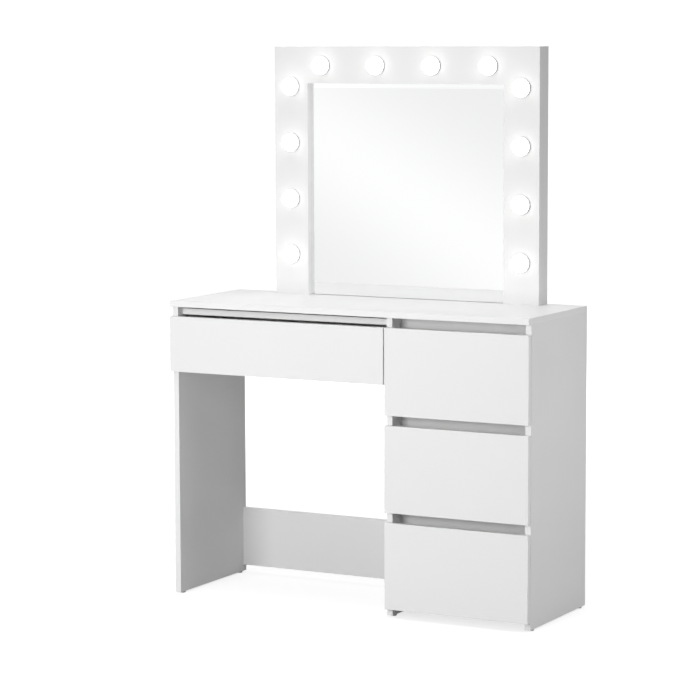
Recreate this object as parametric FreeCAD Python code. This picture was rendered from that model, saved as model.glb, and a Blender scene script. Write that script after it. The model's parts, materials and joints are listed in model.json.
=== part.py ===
"""Vanity table with a lit mirror: white board desk, four drawers, frame mirror with lamps.

Millimetres. The origin is on the floor under the middle of the desk.
+X is to the user's right, -Y is towards the user, +Z is up.
"""
import FreeCAD
import Part
import math
import os

# ---------------------------------------------------------------- driving dimensions
DESK_W = 1000.0
DESK_D = 350.0
DESK_H = 760.0
BOARD = 15.0                 # laminated board
HDF = 3.0                    # thin fibreboard
GLIDE_H = 4.0
GLIDE_R = 7.0
GLIDE_RIM = 1.5              # rounding of a glide's lower rim
GLIDE_INSET = 22.0           # glide centre from the front or rear end of a panel

FRONT_GAP = 1.0              # air between a closed drawer front and the panels' front edges
MIDDLE_PANEL_X = 113.0       # left face of the middle panel
COLUMN_FRONT_X = 113.5       # left edge of the three column fronts
WIDE_FRONT_END_X = 110.5     # right edge of the wide drawer's front

FINGER_GAP = 25.0            # opening above each drawer front
COLUMN_FRONT_H = 216.0
WIDE_FRONT_H = 141.0

DRAWER_DEPTH = 300.0         # box length behind the front
BOX_ABOVE_FRONT = 12.0       # box bottom above its front's lower edge
COLUMN_BOX_H = 174.0
WIDE_BOX_H = 108.0

SLIDE_GAP = 12.7             # ball bearing slide, per side
SLIDE_H = 45.0
SLIDE_LEN = 300.0
SLIDE_SETBACK = 2.0          # slide's front end behind the panel's front edge
STEEL = 1.2                  # slide profile thickness
BALL_GAP = 2.4               # space for the balls between two profiles
SLIDE_FLANGE = 8.5           # flange depth of the cabinet profile
SLIDE_STEP = 3.4             # each profile's web lies this far in front of the last

RAIL_SETBACK = 50.0          # column rails behind the panels' front edges
COLUMN_RAIL_H = 51.0
TOP_RAIL_H = 47.0
WIDE_RAIL_SETBACK = 22.0
WIDE_RAIL_W = 60.0
WIDE_RAIL_DROP = 7.0         # shadow gap between this flat rail and the desktop
KNEE_RAIL_Z = 21.0
KNEE_RAIL_H = 155.0
WIDE_BACK_RAIL_H = 150.0
BACK_PANEL_FROM_REAR = 15.0
GROOVE_DEPTH = 6.0
GROOVE_PLAY = 0.2

CAM_R = 7.5
CAM_DEPTH = 12.0
CAM_FROM_EDGE = 24.0
CAM_FROM_END = 60.0          # desktop cams from the front and rear of the desk
CAM_SPREAD = 45.0            # cams above and below the middle of a tall rail
CAM_SLOT_W = 1.6
CAM_SLOT_DEPTH = 1.5
BOLT_R = 3.0
BOLT_BITE = 11.0             # bolt length inside the receiving board
BORE_PLAY = 0.15
PAST = 1.0                   # how far a cutting tool runs past the face that it cuts

MIRROR_W = 750.0
MIRROR_H = 640.0
MIRROR_D = 52.0
MIRROR_X = 17.0              # centre of the mirror, right of the desk's centre
MIRROR_BOARD = 16.0
MARGIN = 97.0                # board left and right of the glass
TOP_MARGIN = 94.0
GLASS_T = 4.0
GLASS_OVERLAP = 10.0
GLASS_LIFT = 1.0
BOTTOM_RAIL_D = 28.0
COVER_LAP = 8.0
COVER_PLAY = 0.5

LAMPS_PER_SIDE = 4
LAMP_EDGE = 48.5             # lamp centre from the mirror's outer edge
TOP_LAMP_PITCH = 158.0
SIDE_LAMP_TOP = 102.0        # highest side lamp below the mirror's top
SIDE_LAMP_PITCH = 144.6
DOME_R = 23.5
DOME_WALL = 1.5
COLLAR_H = 4.5
STEM_R = 5.0
STEM_END = 9.0               # stem length behind the front board
NUT_H = 4.0
NUT_AF = 15.0
LED_R = 18.0
LED_T = 1.6
WIRE_R = 1.5
WIRE_BEHIND_BOARD = 6.5
WIRE_CLEARANCE = 0.5
LAST_LEAD_BACK = 4.0         # end of the lead to the driver, behind the lamps' leads
LAST_LEAD_UP = 10.0          # the same end, above the middle of the driver

DRIVER = (150.0, 24.0, 38.0)
DRIVER_X = -240.0
DRIVER_SLOPE = 12.0          # sloping ends of the driver's case
DRIVER_FROM_COVER = 1.0
SWITCH_Z = 830.0
SWITCH_POCKET = (10.4, 17.2)
SWITCH_BODY = (12.8, 19.6)
SWITCH_BEZEL = (15.0, 22.0)
BEZEL_T = 1.5
SWITCH_DEPTH = 18.0
SWITCH_POCKET_DEPTH = 6.9
ROCKER_W = 10.0
ROCKER_TILT = 8.0
INLET_Z = 795.0
INLET_R = 5.5
INLET_RIM = 1.5              # flange round the inlet's body
INLET_BORE_R = 2.8
INLET_BORE_DEPTH = 9.5
INLET_PIN_R = 1.0
INLET_PIN_SETBACK = 1.0
INLET_LEN = 20.0

SCREW_R = 1.5
SCREW_HEAD_R = 3.0
SCREW_HEAD_T = 1.5
COVER_SCREW_LEN = 14.0
FIX_R = 2.2
FIX_HEAD_R = 4.2
FIX_HEAD_T = 2.5
FIX_BITE = 12.0
FIX_FRONT = 6.0              # fixing screws behind the bottom rail's front face
FIX_SHARES = (0.4, 0.22)     # fixing screws from the mirror's centre, as shares of its width

# ---------------------------------------------------------------- derived places
HALF_W = DESK_W / 2
FRONT_Y = -DESK_D / 2                     # front face of the fronts and of the desktop
REAR_Y = DESK_D / 2
UNDERSIDE = DESK_H - BOARD
PANEL_FRONT = FRONT_Y + BOARD + FRONT_GAP
LEFT_IN = -HALF_W + BOARD                 # inner face of the left side panel
RIGHT_IN = HALF_W - BOARD
MIDDLE_END = MIDDLE_PANEL_X + BOARD
FRONT_TOP = UNDERSIDE - FINGER_GAP
FRONT_PITCH = COLUMN_FRONT_H + FINGER_GAP

MIRROR_X0 = MIRROR_X - MIRROR_W / 2
MIRROR_X1 = MIRROR_X + MIRROR_W / 2
MIRROR_Y0 = REAR_Y - MIRROR_D             # face of the mirror's front board
MIRROR_BACK_OF_BOARD = MIRROR_Y0 + MIRROR_BOARD
MIRROR_TOP = DESK_H + MIRROR_H

X_AXIS = FreeCAD.Vector(1, 0, 0)
Y_AXIS = FreeCAD.Vector(0, 1, 0)
Z_AXIS = FreeCAD.Vector(0, 0, 1)


# ---------------------------------------------------------------- helpers
def box(x, y, z):
    """A block between two corners, each given as a (low, high) pair."""
    return Part.makeBox(x[1] - x[0], y[1] - y[0], z[1] - z[0], FreeCAD.Vector(x[0], y[0], z[0]))


def rod(start, direction, radius, length):
    """A cylinder that starts at a point and runs along a direction."""
    return Part.makeCylinder(radius, length, FreeCAD.Vector(*start), direction)


def prism(y, outline, length):
    """An outline of (x, z) points in the plane at y, run along +Y."""
    ring = [FreeCAD.Vector(x, y, z) for x, z in outline]
    face = Part.Face(Part.makePolygon(ring + ring[:1]))
    return face.extrude(Y_AXIS * length)


def cut(shape, tools):
    """The shape with all the tools taken away."""
    return shape.cut(Part.makeCompound(tools)) if tools else shape


def save(name, solids):
    """Write one node from one solid or a list of separate solids."""
    shape = Part.makeCompound(solids) if isinstance(solids, list) else solids
    shape.exportStep(os.path.join("parts", name + ".step"))


# ---------------------------------------------------------------- cam fittings
def cam_joints():
    """Every cam fitting: the board with the cam, the board with the bolt, the cam's place
    on its face, the way the cam is sunk in, and the way the bolt runs."""
    joints = []
    cam_z = UNDERSIDE - CAM_FROM_EDGE
    side_faces = (("left_side_panel", LEFT_IN, -X_AXIS),
                  ("middle_panel", MIDDLE_END, -X_AXIS),
                  ("right_side_panel", RIGHT_IN, X_AXIS))
    for board, face_x, sink in side_faces:
        for y in (FRONT_Y + CAM_FROM_END, REAR_Y - CAM_FROM_END):
            joints.append((board, "desktop", (face_x, y, cam_z), sink, Z_AXIS))
    for board, ends, y, heights, panels in rail_table():
        for z in heights:
            left = (ends[0] + CAM_FROM_EDGE, y, z)
            right = (ends[1] - CAM_FROM_EDGE, y, z)
            joints.append((board, panels[0], left, -Y_AXIS, -X_AXIS))
            joints.append((board, panels[1], right, -Y_AXIS, X_AXIS))
    flat_y = PANEL_FRONT + WIDE_RAIL_SETBACK + WIDE_RAIL_W / 2
    flat_z = UNDERSIDE - WIDE_RAIL_DROP - BOARD
    ends = (LEFT_IN + CAM_FROM_EDGE, MIDDLE_PANEL_X - CAM_FROM_EDGE)
    joints.append(("left_bay_front_rail", "left_side_panel", (ends[0], flat_y, flat_z), Z_AXIS, -X_AXIS))
    joints.append(("left_bay_front_rail", "middle_panel", (ends[1], flat_y, flat_z), Z_AXIS, X_AXIS))
    return joints


def rail_table():
    """Upright rails: name, X ends, rear face Y, heights of their cams, the two panels."""
    left_bay = (LEFT_IN, MIDDLE_PANEL_X)
    right_bay = (MIDDLE_END, RIGHT_IN)
    left_pair = ("left_side_panel", "middle_panel")
    right_pair = ("middle_panel", "right_side_panel")
    knee_mid = KNEE_RAIL_Z + KNEE_RAIL_H / 2
    back_mid = UNDERSIDE - WIDE_BACK_RAIL_H / 2
    knee_cams = (knee_mid - CAM_SPREAD, knee_mid + CAM_SPREAD)
    back_cams = (back_mid - CAM_SPREAD, back_mid + CAM_SPREAD)
    rows = [("knee_space_back_rail", left_bay, REAR_Y, knee_cams, left_pair),
            ("left_bay_back_rail", left_bay, REAR_Y, back_cams, left_pair)]
    for number, (low, high) in enumerate(column_rail_heights(), 1):
        rear = PANEL_FRONT + RAIL_SETBACK + BOARD
        rows.append(("right_bay_rail_%d" % number, right_bay, rear, ((low + high) / 2,), right_pair))
    return rows


def cam_point(joint):
    """Centre of the cam's bolt hole line: half way through the board."""
    point = FreeCAD.Vector(*joint[2])
    return point + joint[3] * (BOARD / 2)


def cam_cutters(board):
    """The bores that one board needs for its cams and bolts."""
    tools = []
    for joint in cam_joints():
        holder, receiver, place, sink, run = joint
        if board == holder:
            tools.append(rod(place, sink, CAM_R + BORE_PLAY, CAM_DEPTH + BORE_PLAY))
        if board in (holder, receiver):
            length = CAM_FROM_EDGE + BOLT_BITE + BORE_PLAY
            tools.append(rod(cam_point(joint), run, BOLT_R + BORE_PLAY, length))
    return tools


def cam_fittings():
    """Slotted cams and their bolts, each a separate solid."""
    solids = []
    for joint in cam_joints():
        place, sink, run = joint[2:]
        cam = rod(place, sink, CAM_R, CAM_DEPTH)
        slot = Part.makeBox(2 * CAM_R, CAM_SLOT_W, 2 * CAM_SLOT_DEPTH,
                            FreeCAD.Vector(-CAM_R, -CAM_SLOT_W / 2, -CAM_SLOT_DEPTH))
        slot.Placement = FreeCAD.Placement(FreeCAD.Vector(*place), FreeCAD.Rotation(Z_AXIS, sink))
        start = cam_point(joint) + run * (CAM_R + BORE_PLAY)
        bolt = rod(start, run, BOLT_R, CAM_FROM_EDGE - CAM_R - BORE_PLAY + BOLT_BITE)
        solids += [cam.cut(slot), bolt]
    return solids


# ---------------------------------------------------------------- carcass
def column_front_z(number):
    """Lower and upper edge of a column drawer front, counted from the top."""
    top = FRONT_TOP - number * FRONT_PITCH
    return top - COLUMN_FRONT_H, top


def column_box_z(number):
    """Lower and upper edge of a column drawer's box."""
    low = column_front_z(number)[0] + BOX_ABOVE_FRONT
    return low, low + COLUMN_BOX_H


def column_rail_heights():
    """Each rail closes a finger gap, and clears the boxes above and below it."""
    rails = [(UNDERSIDE - TOP_RAIL_H, UNDERSIDE)]
    for number in (1, 2):
        middle = (column_box_z(number)[1] + column_box_z(number - 1)[0]) / 2
        rails.append((middle - COLUMN_RAIL_H / 2, middle + COLUMN_RAIL_H / 2))
    return rails


def desktop():
    """The top covers the panels, and its front edge is level with the fronts."""
    board = box((-HALF_W, HALF_W), (FRONT_Y, REAR_Y), (UNDERSIDE, DESK_H))
    return cut(board, cam_cutters("desktop") + fixing_screw_bores())


def side_panel(name, x0):
    """An upright panel that stands on its glides."""
    board = box((x0, x0 + BOARD), (PANEL_FRONT, REAR_Y), (GLIDE_H, UNDERSIDE))
    return cut(board, cam_cutters(name) + [back_panel_groove()])


def back_panel_y():
    """Front and rear face of the column's thin back panel."""
    front = REAR_Y - BACK_PANEL_FROM_REAR - HDF
    return front, front + HDF


def back_panel_groove():
    """The groove in the middle and right panels that holds the thin back panel."""
    y0, y1 = back_panel_y()
    return box((MIDDLE_END - GROOVE_DEPTH, RIGHT_IN + GROOVE_DEPTH),
               (y0 - GROOVE_PLAY, y1 + GROOVE_PLAY), (GLIDE_H, UNDERSIDE))


def right_bay_back_panel():
    """Thin fibreboard behind the drawer column."""
    reach = GROOVE_DEPTH - GROOVE_PLAY
    return box((MIDDLE_END - reach, RIGHT_IN + reach), back_panel_y(), (KNEE_RAIL_Z, UNDERSIDE))


def upright_rails():
    """Upright rails between two panels, with the bores for their cams."""
    heights = {"knee_space_back_rail": (KNEE_RAIL_Z, KNEE_RAIL_Z + KNEE_RAIL_H),
               "left_bay_back_rail": (UNDERSIDE - WIDE_BACK_RAIL_H, UNDERSIDE)}
    for number, pair in enumerate(column_rail_heights(), 1):
        heights["right_bay_rail_%d" % number] = pair
    rails = {}
    for name, ends, rear, _, _ in rail_table():
        board = box(ends, (rear - BOARD, rear), heights[name])
        rails[name] = cut(board, cam_cutters(name))
    return rails


def left_bay_front_rail():
    """A flat rail above the wide drawer, a shadow gap below the desktop."""
    y0 = PANEL_FRONT + WIDE_RAIL_SETBACK
    top = UNDERSIDE - WIDE_RAIL_DROP
    board = box((LEFT_IN, MIDDLE_PANEL_X), (y0, y0 + WIDE_RAIL_W), (top - BOARD, top))
    return cut(board, cam_cutters("left_bay_front_rail"))


def foot_glides():
    """Round plastic glides with a rounded rim, at both ends of each panel."""
    glides = []
    for x0 in (-HALF_W, MIDDLE_PANEL_X, RIGHT_IN):
        for y in (PANEL_FRONT + GLIDE_INSET, REAR_Y - GLIDE_INSET):
            foot = rod((x0 + BOARD / 2, y, 0), Z_AXIS, GLIDE_R, GLIDE_H)
            rim = [edge for edge in foot.Edges if abs(edge.BoundBox.ZMax) < 0.01]
            glides.append(foot.makeFillet(GLIDE_RIM, rim))
    return glides


# ---------------------------------------------------------------- drawers
def drawer_table():
    """Each drawer: name, its front's X and Z, its bay's inner X, its box's Z."""
    rows = []
    wide_front_z = (FRONT_TOP - WIDE_FRONT_H, FRONT_TOP)
    wide_low = wide_front_z[0] + BOX_ABOVE_FRONT
    rows.append(("wide_drawer", (-HALF_W, WIDE_FRONT_END_X), wide_front_z,
                 (LEFT_IN, MIDDLE_PANEL_X), (wide_low, wide_low + WIDE_BOX_H)))
    for number, name in enumerate(("upper_drawer", "middle_drawer", "lower_drawer")):
        rows.append((name, (COLUMN_FRONT_X, HALF_W), column_front_z(number),
                     (MIDDLE_END, RIGHT_IN), column_box_z(number)))
    return rows


def drawer_pieces(name, front_x, front_z, bay, box_z):
    """Front, two sides, back and thin bottom of one drawer."""
    behind = FRONT_Y + BOARD
    end = behind + DRAWER_DEPTH
    x0 = bay[0] + SLIDE_GAP
    x1 = bay[1] - SLIDE_GAP
    side_z = (box_z[0] + HDF, box_z[1])
    return {
        name + "_front": box(front_x, (FRONT_Y, behind), front_z),
        name + "_left_side": box((x0, x0 + BOARD), (behind, end), side_z),
        name + "_right_side": box((x1 - BOARD, x1), (behind, end), side_z),
        name + "_back": box((x0 + BOARD, x1 - BOARD), (end - BOARD, end), side_z),
        name + "_bottom": box((x0, x1), (behind, end), (box_z[0], box_z[0] + HDF)),
    }


# ---------------------------------------------------------------- drawer slides
def channel(face_x, outward, web_from, flange_to, height, z):
    """A rolled C profile along Y. Distances are measured from the panel's face at face_x,
    outward is +1 or -1, and the web is the side that web_from names."""
    y0 = PANEL_FRONT + SLIDE_SETBACK
    near = face_x + outward * web_from
    far = face_x + outward * flange_to
    web_end = near + math.copysign(STEEL, far - near)
    half = height / 2
    web = box(sorted((near, web_end)), (y0, y0 + SLIDE_LEN), (z - half, z + half))
    top = box(sorted((near, far)), (y0, y0 + SLIDE_LEN), (z + half - STEEL, z + half))
    low = box(sorted((near, far)), (y0, y0 + SLIDE_LEN), (z - half, z - half + STEEL))
    return web.fuse([top, low]).removeSplitter()


def slide_members(bay, z):
    """The three nested profiles on both sides of one bay: cabinet, middle and drawer members."""
    inset = 2 * (STEEL + BALL_GAP)
    cabinet = []
    middle = []
    drawer = []
    for face_x, outward in ((bay[0], 1), (bay[1], -1)):
        cabinet.append(channel(face_x, outward, 0, SLIDE_FLANGE, SLIDE_H, z))
        middle.append(channel(face_x, outward, SLIDE_STEP, SLIDE_STEP + SLIDE_FLANGE - 1,
                              SLIDE_H - inset, z))
        drawer.append(channel(face_x, outward, SLIDE_GAP, 2 * SLIDE_STEP,
                              SLIDE_H - 2 * inset, z))
    return cabinet, middle, drawer


# ---------------------------------------------------------------- lit mirror
def lamp_places():
    """Lamp centres (x, z), up the left side, over the top and down the right side."""
    side = [MIRROR_TOP - SIDE_LAMP_TOP - n * SIDE_LAMP_PITCH for n in range(LAMPS_PER_SIDE)]
    first = MIRROR_X - TOP_LAMP_PITCH * (LAMPS_PER_SIDE - 1) / 2
    places = [(MIRROR_X0 + LAMP_EDGE, z) for z in reversed(side)]
    places += [(first + n * TOP_LAMP_PITCH, MIRROR_TOP - LAMP_EDGE) for n in range(LAMPS_PER_SIDE)]
    places += [(MIRROR_X1 - LAMP_EDGE, z) for z in side]
    return places


def mirror_front_board():
    """One board with a cut-out that is open at the bottom, and a hole for each lamp's stem."""
    board = box((MIRROR_X0, MIRROR_X1), (MIRROR_Y0, MIRROR_BACK_OF_BOARD), (DESK_H, MIRROR_TOP))
    window = box((MIRROR_X0 + MARGIN, MIRROR_X1 - MARGIN), (MIRROR_Y0 - PAST, MIRROR_BACK_OF_BOARD + PAST),
                 (DESK_H - PAST, MIRROR_TOP - TOP_MARGIN))
    holes = [rod((x, MIRROR_Y0 - PAST, z), Y_AXIS, STEM_R + BORE_PLAY, MIRROR_BOARD + 2 * PAST)
             for x, z in lamp_places()]
    return cut(board, [window] + holes)


def mirror_glass():
    """Silvered glass, bonded to the back of the front board round the cut-out."""
    return box((MIRROR_X0 + MARGIN - GLASS_OVERLAP, MIRROR_X1 - MARGIN + GLASS_OVERLAP),
               (MIRROR_BACK_OF_BOARD, MIRROR_BACK_OF_BOARD + GLASS_T),
               (DESK_H + GLASS_LIFT, MIRROR_TOP - TOP_MARGIN + GLASS_OVERLAP))


def cover_box(play):
    """The space of the rear cover, which lies in a rebate level with the boards' rear edges."""
    lap = MIRROR_BOARD - COVER_LAP + play
    return box((MIRROR_X0 + lap, MIRROR_X1 - lap), (REAR_Y - HDF, REAR_Y),
               (DESK_H + lap, MIRROR_TOP - lap))


def mirror_housing():
    """Side boards, top board and bottom rail behind the front board, with the cover's rebate."""
    depth = (MIRROR_BACK_OF_BOARD, REAR_Y)
    inner = (MIRROR_X0 + MIRROR_BOARD, MIRROR_X1 - MIRROR_BOARD)
    shapes = {
        "mirror_left_board": box((MIRROR_X0, inner[0]), depth, (DESK_H, MIRROR_TOP)),
        "mirror_right_board": box((inner[1], MIRROR_X1), depth, (DESK_H, MIRROR_TOP)),
        "mirror_top_board": box(inner, depth, (MIRROR_TOP - MIRROR_BOARD, MIRROR_TOP)),
        "mirror_bottom_rail": box(inner, (REAR_Y - BOTTOM_RAIL_D, REAR_Y),
                                  (DESK_H, DESK_H + MIRROR_BOARD)),
    }
    tools = {name: [cover_box(0)] + cover_screw_bores() for name in shapes}
    tools["mirror_left_board"] += switch_and_inlet_holes()
    tools["mirror_bottom_rail"] += fixing_screw_bores()
    return {name: cut(shape, tools[name]) for name, shape in shapes.items()}


def lamp_parts():
    """Opal dome, collar with a threaded stem, LED board and nut of every lamp."""
    seat = MIRROR_Y0 - COLLAR_H
    domes = []
    bases = []
    boards = []
    nuts = []
    for x, z in lamp_places():
        centre = FreeCAD.Vector(x, seat, z)
        shell = Part.makeSphere(DOME_R, centre).cut(Part.makeSphere(DOME_R - DOME_WALL, centre))
        front = box((x - 2 * DOME_R, x + 2 * DOME_R), (seat - 2 * DOME_R, seat),
                    (z - 2 * DOME_R, z + 2 * DOME_R))
        domes.append(shell.common(front))
        collar = rod(centre, Y_AXIS, DOME_R, COLLAR_H)
        stem = rod(centre, Y_AXIS, STEM_R, COLLAR_H + MIRROR_BOARD + STEM_END)
        bases.append(collar.fuse(stem).removeSplitter())
        boards.append(rod((x, seat - LED_T, z), Y_AXIS, LED_R, LED_T))
        nuts.append(hex_nut(x, z))
    return domes, bases, boards, nuts


def hex_nut(x, z):
    """A hexagonal nut on a lamp's stem, tight against the board's rear face."""
    corner = NUT_AF / math.sqrt(3)
    outline = [(x + corner * math.cos(turn), z + corner * math.sin(turn))
               for turn in (math.pi * n / 3 for n in range(6))]
    nut = prism(MIRROR_BACK_OF_BOARD, outline, NUT_H)
    return nut.cut(rod((x, MIRROR_BACK_OF_BOARD - PAST, z), Y_AXIS, STEM_R + BORE_PLAY, NUT_H + 2 * PAST))


def wire(start, end, gap_start, gap_end):
    """A straight wire between two points, cut short by a gap at each end."""
    a = FreeCAD.Vector(*start)
    b = FreeCAD.Vector(*end)
    way = (b - a).normalize()
    length = (b - a).Length - gap_start - gap_end
    return Part.makeCylinder(WIRE_R, length, a + way * gap_start, way)


def lamp_wiring():
    """Leads from lamp to lamp, and from the inlet through the switch and driver to the lamps."""
    y = MIRROR_BACK_OF_BOARD + WIRE_BEHIND_BOARD
    off = STEM_R + BORE_PLAY
    lamps = [(x, y, z) for x, z in lamp_places()]
    leads = [wire(a, b, off, off) for a, b in zip(lamps, lamps[1:])]
    driver_end = (DRIVER_X, switch_y(), DESK_H + MIRROR_BOARD + DRIVER[2] / 2)
    high = (DRIVER_X, y + LAST_LEAD_BACK, driver_end[2] + LAST_LEAD_UP)
    switch_end = (MIRROR_X0 + SWITCH_DEPTH, switch_y(), SWITCH_Z)
    leads.append(wire(lamps[0], high, off, 2 * WIRE_R))
    leads.append(wire(switch_end, driver_end, 2 * WIRE_R, 2 * WIRE_R))
    link_x = MIRROR_X0 + MIRROR_BOARD + WIRE_R + WIRE_CLEARANCE
    leads.append(wire((link_x, switch_y(), INLET_Z), (link_x, switch_y(), SWITCH_Z),
                      INLET_R + BORE_PLAY, SWITCH_BODY[1] / 2 + BORE_PLAY))
    return leads


def led_driver():
    """The lamps' power supply, with sloping end covers, on the bottom rail."""
    length, depth, height = DRIVER
    z0 = DESK_H + MIRROR_BOARD
    y1 = REAR_Y - HDF - DRIVER_FROM_COVER
    slope = DRIVER_SLOPE
    outline = [(DRIVER_X, z0), (DRIVER_X + length, z0), (DRIVER_X + length, z0 + height - slope),
               (DRIVER_X + length - slope, z0 + height), (DRIVER_X + slope, z0 + height),
               (DRIVER_X, z0 + height - slope)]
    return prism(y1 - depth, outline, depth)


# ---------------------------------------------------------------- switch and inlet
def switch_y():
    """The switch and the inlet are in the middle of the side board's depth."""
    return (MIRROR_BACK_OF_BOARD + REAR_Y) / 2


def switch_block(size, x, play=0.0):
    """A block round the switch's centre line: size is (Y, Z), x is a (low, high) pair."""
    y = switch_y()
    half_y = size[0] / 2 + play
    half_z = size[1] / 2 + play
    return box(x, (y - half_y, y + half_y), (SWITCH_Z - half_z, SWITCH_Z + half_z))


def switch_and_inlet_holes():
    """The holes in the mirror's left board."""
    reach = (MIRROR_X0 - PAST, MIRROR_X0 + MIRROR_BOARD + PAST)
    slot = switch_block(SWITCH_BODY, reach, BORE_PLAY)
    bore = rod((reach[0], switch_y(), INLET_Z), X_AXIS, INLET_R + BORE_PLAY, reach[1] - reach[0])
    return [slot, bore]


def switch_housing():
    """Bezel and body with the pocket that the rocker turns in."""
    bezel = switch_block(SWITCH_BEZEL, (MIRROR_X0 - BEZEL_T, MIRROR_X0))
    body = switch_block(SWITCH_BODY, (MIRROR_X0, MIRROR_X0 + SWITCH_DEPTH))
    face = MIRROR_X0 - BEZEL_T
    pocket = switch_block(SWITCH_POCKET, (face - PAST, face + SWITCH_POCKET_DEPTH))
    return bezel.fuse(body).removeSplitter().cut(pocket)


def switch_rocker():
    """The rocker, resting in its on position. It turns about Y through (MIRROR_X0, SWITCH_Z)."""
    tip = (7.8, 3.2)
    shoulder = (7.2, -1.5)
    foot = (3.0, -4.0)
    dip = 2.0
    half = [tip, shoulder, foot]
    outline = half + [(-u, w) for u, w in reversed(half)] + [(0.0, dip)]
    ring = [(MIRROR_X0 - w, SWITCH_Z + u) for u, w in outline]
    rocker = prism(switch_y() - ROCKER_W / 2, ring, ROCKER_W)
    rocker.rotate(FreeCAD.Vector(MIRROR_X0, switch_y(), SWITCH_Z), Y_AXIS, ROCKER_TILT)
    return rocker


def power_inlet():
    """Round panel socket for the low-voltage plug, with its centre contact."""
    start = (MIRROR_X0 - BEZEL_T, switch_y(), INLET_Z)
    flange = rod(start, X_AXIS, INLET_R + INLET_RIM, BEZEL_T)
    body = rod(start, X_AXIS, INLET_R, BEZEL_T + INLET_LEN)
    bore = rod(start, X_AXIS, INLET_BORE_R, INLET_BORE_DEPTH)
    pin_start = (start[0] + INLET_PIN_SETBACK, start[1], start[2])
    pin = rod(pin_start, X_AXIS, INLET_PIN_R, INLET_BORE_DEPTH)
    return flange.fuse(body).removeSplitter().cut(bore).fuse(pin).removeSplitter()


# ---------------------------------------------------------------- screws
def cover_screw_places():
    """Screws (x, z) round the edge of the rear cover."""
    lap = MIRROR_BOARD - COVER_LAP / 2
    xs = [MIRROR_X0 + lap, MIRROR_X, MIRROR_X1 - lap]
    zs = [DESK_H + lap, (DESK_H + MIRROR_TOP) / 2, MIRROR_TOP - lap]
    return [(x, z) for x in xs for z in zs if (x, z) != (xs[1], zs[1])]


def countersunk(point, direction, radius, head_radius, head_depth, length, play=0.0):
    """A screw with a sunk flat head. The point is on the surface that it is driven from."""
    shank = rod(point, direction, radius + play, length + play)
    head = rod(point, direction, head_radius + play, head_depth)
    return shank.fuse(head).removeSplitter()


def cover_screw(x, z, play=0.0):
    """One screw of the rear cover."""
    return countersunk((x, REAR_Y, z), -Y_AXIS, SCREW_R, SCREW_HEAD_R, SCREW_HEAD_T,
                       COVER_SCREW_LEN, play)


def cover_screw_bores():
    """The holes for the cover's screws."""
    return [cover_screw(x, z, BORE_PLAY) for x, z in cover_screw_places()]


def fixing_screw(x, play=0.0):
    """One screw that goes up through the desktop into the mirror's bottom rail."""
    y = REAR_Y - BOTTOM_RAIL_D + FIX_FRONT
    return countersunk((x, y, UNDERSIDE), Z_AXIS, FIX_R, FIX_HEAD_R, FIX_HEAD_T,
                       BOARD + FIX_BITE, play)


def fixing_screw_places():
    """Four screws along the mirror, clear of the middle panel."""
    return [MIRROR_X + side * MIRROR_W * share for side in (-1, 1) for share in FIX_SHARES]


def fixing_screw_bores():
    """The holes for the mirror's fixing screws."""
    return [fixing_screw(x, BORE_PLAY) for x in fixing_screw_places()]


# ---------------------------------------------------------------- build
def carcass_nodes():
    """Every fixed piece of the desk, apart from the slides."""
    nodes = upright_rails()
    nodes["desktop"] = desktop()
    nodes["left_side_panel"] = side_panel("left_side_panel", -HALF_W)
    nodes["middle_panel"] = side_panel("middle_panel", MIDDLE_PANEL_X)
    nodes["right_side_panel"] = side_panel("right_side_panel", RIGHT_IN)
    nodes["right_bay_back_panel"] = right_bay_back_panel()
    nodes["left_bay_front_rail"] = left_bay_front_rail()
    nodes["foot_glides"] = foot_glides()
    nodes["cam_fittings"] = cam_fittings()
    return nodes


def drawer_nodes():
    """Every drawer with the slide members that move with it, and the fixed members."""
    nodes = {}
    fixed = []
    for name, front_x, front_z, bay, box_z in drawer_table():
        nodes.update(drawer_pieces(name, front_x, front_z, bay, box_z))
        cabinet, middle, moving = slide_members(bay, (box_z[0] + box_z[1]) / 2)
        nodes[name + "_middle_rails"] = middle
        nodes[name + "_slide_rails"] = moving
        fixed += cabinet
    nodes["cabinet_slide_rails"] = fixed
    return nodes


def mirror_nodes():
    """Every piece of the lit mirror."""
    nodes = mirror_housing()
    nodes["mirror_front_board"] = mirror_front_board()
    nodes["mirror_glass"] = mirror_glass()
    nodes["mirror_back_cover"] = cut(cover_box(COVER_PLAY), cover_screw_bores())
    parts = lamp_parts()
    for name, solids in zip(("lamp_domes", "lamp_bases", "lamp_led_boards", "lamp_nuts"), parts):
        nodes[name] = solids
    nodes["lamp_wiring"] = lamp_wiring()
    nodes["led_driver"] = led_driver()
    nodes["switch_housing"] = switch_housing()
    nodes["switch_rocker"] = switch_rocker()
    nodes["power_inlet"] = power_inlet()
    nodes["mirror_cover_screws"] = [cover_screw(x, z) for x, z in cover_screw_places()]
    nodes["mirror_fixing_screws"] = [fixing_screw(x) for x in fixing_screw_places()]
    return nodes


os.makedirs("parts", exist_ok=True)
for group in (carcass_nodes(), drawer_nodes(), mirror_nodes()):
    for node_name, node_solids in group.items():
        save(node_name, node_solids)
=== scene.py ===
"""Vanity table with a lit mirror: materials, small hardware, light and camera round the CAD frame.

Metres, in the frame of the CAD model: +X to the user's right, -Y towards the user, +Z up.
"""
import bmesh
import bpy
import json
import math
from mathutils import Matrix, Vector


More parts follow.
